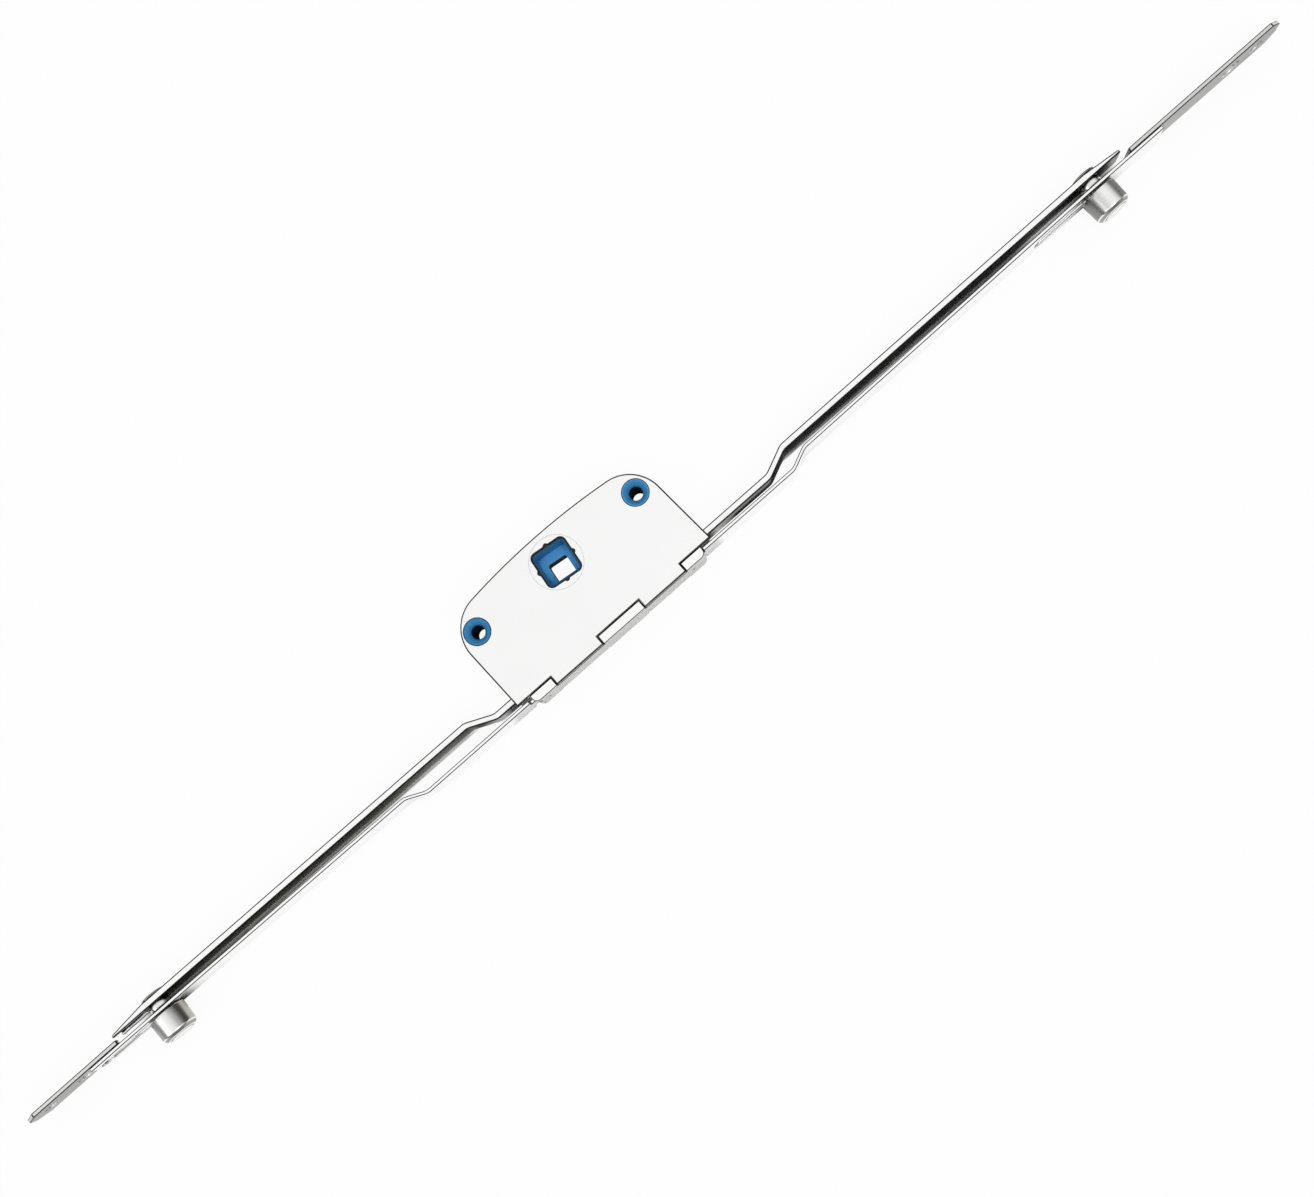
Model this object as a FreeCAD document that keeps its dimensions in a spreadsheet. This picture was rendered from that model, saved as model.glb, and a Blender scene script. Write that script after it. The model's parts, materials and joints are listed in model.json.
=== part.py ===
import FreeCAD, Part
import math
import os
import re
import Sketcher

# Espagnolette lock for a window sash, lying on its back.
# X runs along the lock, Y points to the back of the gear case, Z out of its front face.
# The spindle axis is the Z axis, and the case back lies on Z = 0.
# The rod is drawn near the end of its stroke, with the square socket a few degrees short of square.

SIZES = {
    # gear case
    "case_depth": 9.5,
    "tray_gauge": 1.2,
    "cover_gauge": 1.2,
    "case_margin_left": 3.7,
    "case_margin_right": 5.4,
    "lean_left": 0.7,
    "lean_right": 1.3,
    "back_corner_drop": 0.85,
    "back_crown_radius": 155.0,
    "case_corner": 8.5,
    "case_front": 17.15,
    "end_wall_foot": 14.1,
    # bracket that closes the front of the case
    "bracket_face": 17.2,
    "bracket_gauge": 2.0,
    "bracket_left": 21.9,
    "bracket_right": 24.0,
    "bracket_corner": 1.3,
    "tongue_left_start": 16.2,
    "tongue_left_end": 3.6,
    "tongue_right_start": 7.5,
    "tongue_right_end": 18.7,
    "tongue_gap": 0.05,
    "tongue_root": 1.0,
    # how far each cutter runs past the face it cuts
    "cut_past": 2.0,
    # handle screws and their plastic bushes
    "screw_spacing": 43.0,
    "bush_body_radius": 3.4,
    "bush_nose_radius": 2.8,
    "bush_cone_radius": 2.6,
    "bush_cone_depth": 1.3,
    "bush_bore_radius": 1.45,
    "wall_gap": 0.1,
    # gear
    "pitch_radius": 10.0,
    "tooth_count": 16.0,
    "addendum": 1.0,
    "dedendum": 1.25,
    "flank_slope": 0.36397,
    "backlash": 0.12,
    "tooth_foot_overlap": 0.25,
    "sector_half_angle": 68.0,
    "rest_turn": 38.0,
    "square_turn": 7.0,
    "degrees_per_radian": 57.29578,
    "full_turn": 6.2831853,
    "journal_radius": 5.7,
    "journal_clearance": 0.04,
    "hub_socket": 7.0,
    "liner_outside": 7.9,
    "liner_corner": 1.1,
    "liner_recess": 0.6,
    "ledge_depth": 5.0,
    "ledge_bore_width": 4.4,
    "ledge_bore_offset": 0.8,
    "ledge_bore_corner": 0.4,
    "lobe_square": 6.3,
    "lobe_corner": 0.3,
    # drive rod
    "rod_gauge": 1.5,
    "rod_side_gap": 0.25,
    "rod_face": 14.7,
    "rod_crank_step": 2.7,
    "rod_crank_run": 6.0,
    "rod_tail_step": 0.4,
    "rod_tail_run": 65.0,
    "rod_foot_left": 36.6,
    "rod_foot_right": 37.4,
    "rod_nose_left": 138.8,
    "rod_nose_right": 135.3,
    "nose_taper": 9.0,
    "nose_gauge": 0.6,
    "nose_fork_width": 4.6,
    "nose_fork_length": 7.4,
    "nose_round": 0.9,
    "bend_radius": 3.0,
    # rack on the rod
    "rack_half_length": 12.4,
    "rack_rivet_reach": 10.7,
    "rack_rivet_radius": 1.1,
    # glides in the case
    "glide_length": 3.2,
    "glide_height": 4.0,
    "glide_gap": 0.15,
    # fixed rail
    "rail_gauge": 0.8,
    "rail_width": 8.5,
    "rail_face": 17.55,
    "rail_crank_step": 2.1,
    "rail_crank_run": 4.6,
    "rail_tail_step": 0.65,
    "rail_tail_run": 75.0,
    "rail_foot_left": 50.3,
    "rail_foot_right": 48.7,
    "rail_butt_left": 22.9,
    "rail_butt_right": 24.1,
    "rail_tongue": 5.2,
    "tongue_width": 4.5,
    "rail_end_left": 139.2,
    "rail_end_right": 151.0,
    "rail_rivet_radius": 1.2,
    "rail_rivet_inset": 2.4,
    "rivet_head_radius": 1.9,
    "rivet_head_height": 0.35,
    # end plates
    "plate_gauge": 1.0,
    "plate_start_left": 131.4,
    "plate_start_right": 142.8,
    "plate_tip_left": 156.7,
    "plate_tip_right": 184.0,
    "plate_corner": 2.6,
    "big_hole_left": 141.9,
    "big_hole_right": 170.9,
    "small_hole_left": 151.6,
    "small_hole_right": 177.8,
    "big_hole_radius": 2.1,
    "small_hole_radius": 1.5,
    # roller pins and rollers
    "roller_left": 127.8,
    "roller_right": 126.9,
    "pin_radius": 1.9,
    "pin_shoulder_radius": 2.5,
    "pin_head_radius": 2.9,
    "pin_head_height": 0.7,
    "pin_head_fall": 0.35,
    "pin_head_slope": 0.9,
    "shoulder_gap": 0.25,
    "slot_side_gap": 0.3,
    "slot_end_gap": 0.4,
    "roller_radius": 4.1,
    "roller_taper": 0.15,
    "roller_length": 5.4,
    "roller_chamfer": 0.8,
    "roller_gap": 0.3,
    "roller_bore_gap": 0.05,
    "collar_radius": 2.6,
    "collar_height": 0.8,
    "turn_down": 83.0,
    "turn_up": 7.0,
}

doc = FreeCAD.newDocument("espagnolette_lock")
sheet = doc.addObject("Spreadsheet::Sheet", "sizes")
for row, (size_name, size_value) in enumerate(SIZES.items(), start=1):
    cell = "A%d" % row
    sheet.set(cell, str(size_value))
    sheet.setAlias(cell, size_name)
doc.recompute()

pieces = []


def bound(text):
    """Write a size formula the way an expression reads it, with the sheet named."""
    return re.sub(r"[a-z_]{3,}", lambda word: "sizes." + word.group(0), text)


def measure(text):
    """Work out a size formula: sums of products of named sizes and plain numbers."""
    total = 0.0
    for sign, term in re.findall(r"([+-]?)\s*([^+-]+)", text):
        product = 1.0
        for operator, factor in re.findall(r"([*/]?)\s*([\w.]+)", term):
            number = getattr(sheet, factor) if factor[0].isalpha() else float(factor)
            product = product / number if operator == "/" else product * number
        total += -product if sign == "-" else product
    return total


def place(thing, x="0", y="0", z="0"):
    """Tie the place of an object to size formulas."""
    thing.setExpression("Placement.Base.x", bound(x))
    thing.setExpression("Placement.Base.y", bound(y))
    thing.setExpression("Placement.Base.z", bound(z))


def block(name, start, end):
    """A box between two corners that are given as formulas."""
    box = doc.addObject("Part::Box", name)
    place(box, *start)
    for field, low, high in zip(("Length", "Width", "Height"), start, end):
        box.setExpression(field, bound("(" + high + ") - (" + low + ")"))
    return box


def post(name, radius, height, x, y, z, axis="Z"):
    """A round bar that starts at x, y, z and runs along +Z or along -Y."""
    bar = doc.addObject("Part::Cylinder", name)
    bar.setExpression("Radius", bound(radius))
    bar.setExpression("Height", bound(height))
    if axis == "-Y":
        bar.Placement.Rotation = FreeCAD.Rotation(FreeCAD.Vector(1, 0, 0), 90)
    place(bar, x, y, z)
    return bar


def taper(name, radius_start, radius_end, height, x, y, z, axis="Z"):
    """A round tapered bar that starts at x, y, z and runs along +Z or along -Y."""
    cone = doc.addObject("Part::Cone", name)
    cone.setExpression("Radius1", bound(radius_start))
    cone.setExpression("Radius2", bound(radius_end))
    cone.setExpression("Height", bound(height))
    if axis == "-Y":
        cone.Placement.Rotation = FreeCAD.Rotation(FreeCAD.Vector(1, 0, 0), 90)
    place(cone, x, y, z)
    return cone


def join(name, *parts):
    """Several solids made into one."""
    fused = doc.addObject("Part::MultiFuse", name)
    fused.Shapes = list(parts)
    fused.Refine = True
    return fused


def remove(name, base, *tools):
    """A solid with others cut out of it."""
    tool = tools[0] if len(tools) == 1 else join(name + "_tools", *tools)
    cut = doc.addObject("Part::Cut", name)
    cut.Base = base
    cut.Tool = tool
    cut.Refine = True
    return cut


def finished(thing, label):
    """Name a finished piece, which is then written to a file of that name."""
    thing.Label = label
    pieces.append(thing)
    return thing


def arc_middle(start, end, radius):
    """The middle point of a shallow arc that bulges to the right of its travel."""
    chord = end - start
    half = chord.Length / 2
    rise = radius - math.sqrt(radius * radius - half * half)
    side = FreeCAD.Vector(chord.y, -chord.x, 0).normalize()
    return (start + end) / 2 + side * rise


def outline_body(name, corners, z, height, arcs=None):
    """A body padded from a closed outline on the XY plane; arcs maps a side to its radius."""
    arcs = arcs or {}
    body = doc.addObject("PartDesign::Body", name)
    sketch = body.newObject("Sketcher::SketchObject", name + "_outline")
    plane = [item for item in body.Origin.OriginFeatures if item.Role == "XY_Plane"][0]
    sketch.AttachmentSupport = [(plane, "")]
    sketch.MapMode = "FlatFace"
    sketch.setExpression("AttachmentOffset.Base.z", bound(z))
    spots = [FreeCAD.Vector(measure(x), measure(y), 0) for x, y in corners]
    for side, spot in enumerate(spots):
        following = spots[(side + 1) % len(spots)]
        if side in arcs:
            middle = arc_middle(spot, following, measure(arcs[side]))
            sketch.addGeometry(Part.Arc(spot, middle, following), False)
        else:
            sketch.addGeometry(Part.LineSegment(spot, following), False)
    for side in range(len(spots)):
        sketch.addConstraint(Sketcher.Constraint("Coincident", side, 2, (side + 1) % len(spots), 1))
    for side, (x, y) in enumerate(corners):
        across = sketch.addConstraint(Sketcher.Constraint("DistanceX", side, 1, spots[side].x))
        sketch.setExpression("Constraints[%d]" % across, bound(x))
        along = sketch.addConstraint(Sketcher.Constraint("DistanceY", side, 1, spots[side].y))
        sketch.setExpression("Constraints[%d]" % along, bound(y))
    for side, radius in arcs.items():
        bend = sketch.addConstraint(Sketcher.Constraint("Radius", side, measure(radius)))
        sketch.setExpression("Constraints[%d]" % bend, bound(radius))
    pad = body.newObject("PartDesign::Pad", name + "_pad")
    pad.Profile = sketch
    pad.setExpression("Length", bound(height))
    doc.recompute()
    return body


def round_upright(body, spots, radius):
    """Round the upright edges of a body that stand at the given places."""
    wanted = []
    for number, edge in enumerate(body.Shape.Edges, start=1):
        first, last = edge.Vertexes[0].Point, edge.Vertexes[-1].Point
        upright = abs(first.x - last.x) < 1e-6 and abs(first.y - last.y) < 1e-6
        near = [1 for x, y in spots if math.hypot(first.x - measure(x), first.y - measure(y)) < 1e-3]
        if upright and near:
            wanted.append("Edge%d" % number)
    before = body.Tip
    fillet = body.newObject("PartDesign::Fillet", body.Name + "_round")
    fillet.Base = (before, wanted)
    fillet.setExpression("Radius", bound(radius))
    body.Tip = fillet
    doc.recompute()
    return body


# Gear case
# The tray is drawn from sheet, with its end walls cut back where the rod runs through.
# The cover is a flat blank that lies on the tray walls.
# Both ends of the case lean a little to the left, away from the bracket.
case_left = "-screw_spacing / 2 - case_margin_left"
case_right = "screw_spacing / 2 + case_margin_right"
case_back = "journal_radius - back_corner_drop"


def case_outline(name, wall, front, z, height, gap="0"):
    """The D-shaped outline of the case, drawn in by a wall and a gap, with a crowned back."""
    grow = " + " + wall + " + " + gap
    shrink = " - " + wall + " - " + gap
    crown_rise = " + " + wall + " * screw_spacing / 2 / back_crown_radius"
    corners = [
        (case_left + grow, "-" + front),
        (case_right + shrink, "-" + front),
        (case_right + " - lean_right" + shrink, case_back + shrink + crown_rise),
        (case_left + " - lean_left" + grow, case_back + shrink + crown_rise),
    ]
    body = outline_body(name, corners, z, height, arcs={2: "back_crown_radius"})
    return round_upright(body, corners[2:], "case_corner" + shrink)


def tongues(name, z, height):
    """The two tongues that reach over the notched edge of the bracket."""
    reach = "-bracket_face - bracket_gauge + tongue_gap"
    left = block(
        name + "_left",
        ("-tongue_left_start", reach, z),
        ("-tongue_left_end", "-case_front + tongue_root", z + " + " + height),
    )
    right = block(
        name + "_right",
        ("tongue_right_start", reach, z),
        ("tongue_right_end", "-case_front + tongue_root", z + " + " + height),
    )
    return left, right


inner_top = "case_depth - cover_gauge"
shell = case_outline("tray_shell", "0", "case_front", "0", inner_top)
hollow = case_outline("tray_hollow", "tray_gauge", "case_front - cut_past", "tray_gauge", "case_depth")
rod_way = block(
    "rod_way",
    (case_left + " - cut_past", "-case_front - cut_past", "tray_gauge"),
    (case_right + " + cut_past", "-end_wall_foot", "case_depth"),
)
tray_body = join("tray_body", shell, *tongues("tray_tongue", "0", "tray_gauge"))
axle_hole_radius = "journal_radius + journal_clearance"
tray_axle_hole = post("tray_axle_hole", axle_hole_radius, "case_depth", "0", "0", "-cut_past")
bush_holes = []
for side_name, side_sign in (("left", "-"), ("right", "")):
    spot = side_sign + "screw_spacing / 2"
    bush_holes.append(post("tray_bush_hole_" + side_name, "bush_nose_radius", "tray_gauge + cut_past",
                           spot, "0", "-cut_past"))
finished(remove("tray", tray_body, hollow, rod_way, tray_axle_hole, *bush_holes), "case_tray")

lid = case_outline("lid_blank", "0", "case_front", inner_top, "cover_gauge")
lid_body = join("lid_body", lid, *tongues("lid_tongue", inner_top, "cover_gauge"))
lid_cuts = [post("lid_axle_hole", axle_hole_radius, "case_depth", "0", "0", "cut_past")]
for side_name, side_sign in (("left", "-"), ("right", "")):
    spot = side_sign + "screw_spacing / 2"
    lid_cuts.append(post("lid_bush_hole_" + side_name, "bush_nose_radius", "case_depth",
                         spot, "0", "cut_past"))
finished(remove("lid", lid_body, *lid_cuts), "case_cover")

# Screw bushes
# Each is a moulded spacer between tray and cover, with a nose in each and a dished bore.
# Its waist is trimmed to the rounded corner of the tray.
bush_room = case_outline("bush_room", "tray_gauge", "case_front", "tray_gauge",
                         inner_top + " - tray_gauge", gap="wall_gap")
for side_name, side_sign in (("left", "-"), ("right", "")):
    spot = side_sign + "screw_spacing / 2"
    foot_nose = post("bush_foot_" + side_name, "bush_nose_radius", "tray_gauge", spot, "0", "0")
    top_nose = post("bush_nose_" + side_name, "bush_nose_radius", "cover_gauge", spot, "0", inner_top)
    waist = doc.addObject("Part::Common", "bush_waist_" + side_name)
    waist.Base = post("bush_waist_bar_" + side_name, "bush_body_radius", "case_depth", spot, "0", "0")
    waist.Tool = bush_room
    dish = taper(
        "bush_dish_" + side_name,
        "bush_bore_radius",
        "bush_cone_radius",
        "bush_cone_depth",
        spot,
        "0",
        "case_depth - bush_cone_depth",
    )
    bore = post("bush_bore_" + side_name, "bush_bore_radius", "case_depth + 2 * cut_past",
                spot, "0", "-cut_past")
    bush_body = join("bush_body_" + side_name, foot_nose, waist, top_nose)
    finished(remove("bush_" + side_name, bush_body, dish, bore), "screw_bush_" + side_name)

# Bracket
# A thick strip closes the front of the case; its edges are notched for the case tongues,
# and shallow beds at its ends take the tongues of the rails.
bracket_back = "-bracket_face - bracket_gauge"
bracket_corners = [
    ("-bracket_left", bracket_back),
    ("bracket_right", bracket_back),
    ("bracket_right", "-bracket_face"),
    ("-bracket_left", "-bracket_face"),
]
bracket_blank = outline_body("bracket_blank", bracket_corners, "0", "case_depth")
round_upright(bracket_blank, bracket_corners[:2], "bracket_corner")
notches = []
notch_levels = (
    ("top", inner_top + " - tongue_gap", "case_depth + cut_past"),
    ("foot", "-cut_past", "tray_gauge + tongue_gap"),
)
for level_name, low, high in notch_levels:
    notches.append(
        block(
            "notch_left_" + level_name,
            ("-tongue_left_start - tongue_gap", bracket_back + " - cut_past", low),
            ("-tongue_left_end + tongue_gap", "-bracket_face + cut_past", high),
        )
    )
    notches.append(
        block(
            "notch_right_" + level_name,
            ("tongue_right_start - tongue_gap", bracket_back + " - cut_past", low),
            ("tongue_right_end + tongue_gap", "-bracket_face + cut_past", high),
        )
    )
bed_low = "case_depth / 2 - tongue_width / 2 - tongue_gap"
bed_high = "case_depth / 2 + tongue_width / 2 + tongue_gap"
bed_floor = "-rail_face - rail_gauge"
beds = [
    block(
        "bed_left",
        ("-bracket_left - cut_past", bed_floor, bed_low),
        ("-rail_butt_left + rail_tongue + tongue_gap", "-bracket_face + cut_past", bed_high),
    ),
    block(
        "bed_right",
        ("rail_butt_right - rail_tongue - tongue_gap", bed_floor, bed_low),
        ("bracket_right + cut_past", "-bracket_face + cut_past", bed_high),
    ),
]
rivet_spots = {
    "left": "-rail_butt_left + rail_tongue - rail_rivet_inset",
    "right": "rail_butt_right - rail_tongue + rail_rivet_inset",
}
bracket_rivet_holes = []
for side_name, spot in rivet_spots.items():
    bracket_rivet_holes.append(
        post("bracket_rivet_hole_" + side_name, "rail_rivet_radius", "bracket_gauge + 2 * cut_past",
             spot, "-bracket_face + cut_past", "case_depth / 2", axis="-Y")
    )
finished(remove("bracket", bracket_blank, *notches, *beds, *bracket_rivet_holes), "faceplate_bracket")

# Fixed rails
# Two thin strips run out from the bracket; each is cranked back towards the case side,
# and slotted where its roller pin slides.
slot_half = "pin_radius + slot_side_gap"
rest_shift = "pitch_radius * rest_turn / degrees_per_radian"
stroke_down = "pitch_radius * turn_down / degrees_per_radian"
stroke_up = "pitch_radius * turn_up / degrees_per_radian"
rail_low = "case_depth / 2 - rail_width / 2"


def pin_slot(name, roller_spot, half_width, top, foot):
    """A round-ended slot through a strip, as long as the stroke of its roller pin."""
    first = roller_spot + " - " + stroke_down + " - slot_end_gap"
    last = roller_spot + " + " + stroke_up + " + slot_end_gap"
    middle = "case_depth / 2"
    mouth = block(
        name + "_mouth",
        (first, foot, middle + " - (" + half_width + ")"),
        (last, top, middle + " + (" + half_width + ")"),
    )
    depth = "(" + top + ") - (" + foot + ")"
    ends = []
    for end_name, spot in (("first", first), ("last", last)):
        ends.append(post(name + "_" + end_name, half_width, depth, spot, top, middle, axis="-Y"))
    return join(name, mouth, *ends)


roller_spots = {
    "left": rest_shift + " - roller_left",
    "right": rest_shift + " + roller_right",
}
for side_name, sign in (("left", "-"), ("right", "")):
    opposite = "" if sign == "-" else "-"
    inner = "-rail_face"
    crank = "-rail_face + rail_crank_step"
    outer = "-rail_face + rail_crank_step + rail_tail_step"
    foot = "rail_foot_" + side_name
    butt = "rail_butt_" + side_name
    end = "rail_end_" + side_name
    run = " - rail_crank_run" if sign == "-" else " + rail_crank_run"
    tail = " - rail_tail_run" if sign == "-" else " + rail_tail_run"
    near_face = [
        (sign + butt, inner),
        (sign + foot, inner),
        (sign + foot + run, crank),
        (sign + foot + run + tail, outer),
        (sign + end, outer),
    ]
    far_face = [(x, y + " - rail_gauge") for x, y in reversed(near_face)]
    strip = outline_body("rail_strip_" + side_name, near_face + far_face, rail_low, "rail_width")
    round_upright(strip, near_face[1:4] + far_face[1:4], "bend_radius")
    back = " + rail_tongue" if sign == "-" else " - rail_tongue"
    low_x, high_x = (sign + butt, sign + butt + back)
    if sign == "":
        low_x, high_x = high_x, low_x
    tongue = block(
        "rail_tongue_" + side_name,
        (low_x, "-rail_face - rail_gauge", "case_depth / 2 - tongue_width / 2"),
        (high_x, "-rail_face", "case_depth / 2 + tongue_width / 2"),
    )
    slot = pin_slot("rail_slot_" + side_name, roller_spots[side_name], slot_half,
                    outer + " + cut_past", outer + " - rail_gauge - cut_past")
    rivet_hole = post("rail_rivet_hole_" + side_name, "rail_rivet_radius", "rail_gauge + 2 * cut_past",
                      rivet_spots[side_name], "-rail_face + cut_past", "case_depth / 2", axis="-Y")
    rail = remove("rail_" + side_name, join("rail_blank_" + side_name, strip, tongue), slot, rivet_hole)
    finished(rail, "rail_" + side_name)

# Rail rivets
# One through each tongue and the bracket, hammered flush outside, with a low head inside.
rivets = []
for side_name, spot in rivet_spots.items():
    stem = post("rail_rivet_stem_" + side_name, "rail_rivet_radius",
                "bracket_face + bracket_gauge - rail_face", spot, "-rail_face", "case_depth / 2", axis="-Y")
    head = post("rail_rivet_head_" + side_name, "rivet_head_radius", "rivet_head_height",
                spot, "-rail_face + rivet_head_height", "case_depth / 2", axis="-Y")
    rivets.append(join("rail_rivet_" + side_name, stem, head))
rivet_pair = doc.addObject("Part::Compound", "rail_rivet_pair")
rivet_pair.Links = rivets
finished(rivet_pair, "rail_rivets")

# End plates
# Each is welded flat under the end of its rail, and holds a large and a small fixing hole.
for side_name, sign in (("left", "-"), ("right", "")):
    face = "-rail_face + rail_crank_step + rail_tail_step"
    top = face + " + plate_gauge"
    start, tip = sign + "plate_start_" + side_name, sign + "plate_tip_" + side_name
    corners = [(start, face), (tip, face), (tip, top), (start, top)]
    if sign == "-":
        corners = [(tip, face), (start, face), (start, top), (tip, top)]
    blank = outline_body("plate_blank_" + side_name, corners, rail_low, "rail_width")
    edges = []
    for number, edge in enumerate(blank.Shape.Edges, start=1):
        ends = [vertex.Point for vertex in edge.Vertexes]
        along_y = len(ends) == 2 and abs(ends[0].y - ends[1].y) > 0.1
        if along_y and abs(ends[0].x - measure(tip)) < 1e-3:
            edges.append("Edge%d" % number)
    before = blank.Tip
    bevel = blank.newObject("PartDesign::Chamfer", "plate_bevel_" + side_name)
    bevel.Base = (before, edges)
    bevel.setExpression("Size", bound("plate_corner"))
    blank.Tip = bevel
    doc.recompute()
    cuts = []
    for size in ("big", "small"):
        cuts.append(
            post("plate_hole_%s_%s" % (size, side_name), size + "_hole_radius",
                 "plate_gauge + 2 * cut_past", sign + size + "_hole_" + side_name,
                 top + " + cut_past", "case_depth / 2", axis="-Y")
        )
    if sign == "-":
        cuts.append(pin_slot("plate_slot_left", roller_spots["left"], "pin_shoulder_radius + slot_side_gap",
                             top + " + cut_past", face + " - cut_past"))
    finished(remove("plate_" + side_name, blank, *cuts), "end_plate_" + side_name)

# Drive rod
# A steel strip, cranked outside both ends of the case, with tapered forked noses
# that pass either side of a fixing screw. It fills the case from floor to cover but for a gap.
rod_low = "tray_gauge + rod_side_gap"
rod_width = "case_depth - cover_gauge - tray_gauge - 2 * rod_side_gap"


def rod_x(text):
    """A place along the rod, carried to where the rod lies at rest."""
    return text + " + " + rest_shift


rod_inside = "-rod_face + rod_crank_step + rod_tail_step"
rod_outside = rod_inside + " - rod_gauge"
rod_inner = [
    (rod_x("-rod_nose_left"), rod_outside + " + nose_gauge"),
    (rod_x("-rod_nose_left + nose_taper"), rod_inside),
    (rod_x("-rod_foot_left - rod_crank_run - rod_tail_run"), rod_inside),
    (rod_x("-rod_foot_left - rod_crank_run"), "-rod_face + rod_crank_step"),
    (rod_x("-rod_foot_left"), "-rod_face"),
    (rod_x("rod_foot_right"), "-rod_face"),
    (rod_x("rod_foot_right + rod_crank_run"), "-rod_face + rod_crank_step"),
    (rod_x("rod_foot_right + rod_crank_run + rod_tail_run"), rod_inside),
    (rod_x("rod_nose_right - nose_taper"), rod_inside),
    (rod_x("rod_nose_right"), rod_outside + " + nose_gauge"),
]
rod_outer = [(rod_x("rod_nose_right"), rod_outside)]
for x, y in reversed(rod_inner[2:8]):
    rod_outer.append((x, y + " - rod_gauge"))
rod_outer.append((rod_x("-rod_nose_left"), rod_outside))
rod_strip = outline_body("rod_strip", rod_inner + rod_outer, rod_low, rod_width)
round_upright(rod_strip, rod_inner[2:8] + rod_outer[1:7], "bend_radius")
nose_edges = []
for number, edge in enumerate(rod_strip.Shape.Edges, start=1):
    ends = [vertex.Point for vertex in edge.Vertexes]
    short = len(ends) == 2 and abs(ends[0].x - ends[1].x) < 1e-6 and abs(ends[0].z - ends[1].z) < 1e-6
    if short and abs(ends[0].y - ends[1].y) > 0.1:
        nose_edges.append("Edge%d" % number)
before = rod_strip.Tip
nose_rounds = rod_strip.newObject("PartDesign::Fillet", "nose_rounds")
nose_rounds.Base = (before, nose_edges)
nose_rounds.setExpression("Radius", bound("nose_round"))
rod_strip.Tip = nose_rounds
doc.recompute()
rod_cuts = []
for side_name, sign in (("left", "-"), ("right", "")):
    tip = rod_x(sign + "rod_nose_" + side_name)
    root = tip + (" + nose_fork_length" if sign == "-" else " - nose_fork_length")
    beyond = tip + (" - cut_past" if sign == "-" else " + cut_past")
    low_x, high_x = (beyond, root) if sign == "-" else (root, beyond)
    rod_cuts.append(
        block(
            "fork_" + side_name,
            (low_x, rod_outside + " - cut_past", "case_depth / 2 - nose_fork_width / 2"),
            (high_x, rod_inside + " + cut_past", "case_depth / 2 + nose_fork_width / 2"),
        )
    )
    rod_cuts.append(post("pin_hole_" + side_name, "pin_radius", "rod_gauge + 2 * cut_past",
                         roller_spots[side_name], rod_inside + " + cut_past", "case_depth / 2", axis="-Y"))
rack_rivet_spots = {
    "left": rod_x("-rack_rivet_reach"),
    "right": rod_x("rack_rivet_reach"),
}
for side_name, spot in rack_rivet_spots.items():
    rod_cuts.append(post("rod_rivet_hole_" + side_name, "rack_rivet_radius", "rod_gauge + 2 * cut_past",
                         spot, "-rod_face + cut_past", "case_depth / 2", axis="-Y"))
finished(remove("rod", rod_strip, *rod_cuts), "drive_rod")

# Rack
# A straight-flanked toothed bar on the rod's inner face, held by two rivets.
rack_root = "-pitch_radius - dedendum"
rack_tip = "-pitch_radius + addendum"
quarter_pitch = "full_turn * pitch_radius / tooth_count / 4"
tooth_pitch = sheet.full_turn * sheet.pitch_radius / sheet.tooth_count
spare = sheet.rack_half_length - tooth_pitch / 4 - sheet.dedendum * sheet.flank_slope
teeth_beside_middle = int(spare / tooth_pitch)
rack_corners = [
    (rod_x("-rack_half_length"), rack_root),
    (rod_x("-rack_half_length"), "-rod_face"),
    (rod_x("rack_half_length"), "-rod_face"),
    (rod_x("rack_half_length"), rack_root),
]
for number in range(teeth_beside_middle, -teeth_beside_middle - 1, -1):
    middle = rod_x("%d * full_turn * pitch_radius / tooth_count" % number)
    rack_corners += [
        (middle + " + " + quarter_pitch + " - backlash / 2 + dedendum * flank_slope", rack_root),
        (middle + " + " + quarter_pitch + " - backlash / 2 - addendum * flank_slope", rack_tip),
        (middle + " - " + quarter_pitch + " + backlash / 2 + addendum * flank_slope", rack_tip),
        (middle + " - " + quarter_pitch + " + backlash / 2 - dedendum * flank_slope", rack_root),
    ]
rack_bar = outline_body("rack_bar", rack_corners, rod_low, rod_width)
rack_holes = []
rack_rivets = []
for side_name, spot in rack_rivet_spots.items():
    rack_holes.append(post("rack_hole_" + side_name, "rack_rivet_radius", "rod_face + cut_past",
                           spot, "-pitch_radius + cut_past", "case_depth / 2", axis="-Y"))
    rack_rivets.append(post("rack_rivet_" + side_name, "rack_rivet_radius",
                            "rod_face + rod_gauge - pitch_radius - dedendum", spot, rack_root,
                            "case_depth / 2", axis="-Y"))
finished(remove("rack_drilled", rack_bar, *rack_holes), "rack")
rack_rivet_pair = doc.addObject("Part::Compound", "rack_rivet_pair")
rack_rivet_pair.Links = rack_rivets
finished(rack_rivet_pair, "rack_rivets")

# Toothed sector
# A steel hub that turns in the tray and cover, with involute teeth that face the rack,
# a square way for the plastic socket and a lobed mouth in its front face.
gear_low = measure(rod_low)
flank_steps = 6


def round_spot(radius, angle):
    """A place at a radius and an angle from -Y, at the foot of the gear."""
    return FreeCAD.Vector(radius * math.sin(angle), -radius * math.cos(angle), gear_low)


def involute_spot(base_radius, radius, turn, mirror):
    """A place at a radius on an involute that starts at a turn and leans to one side."""
    roll = math.sqrt(max((radius / base_radius) ** 2 - 1, 0))
    return round_spot(radius, turn + mirror * (roll - math.atan(roll)))


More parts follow.
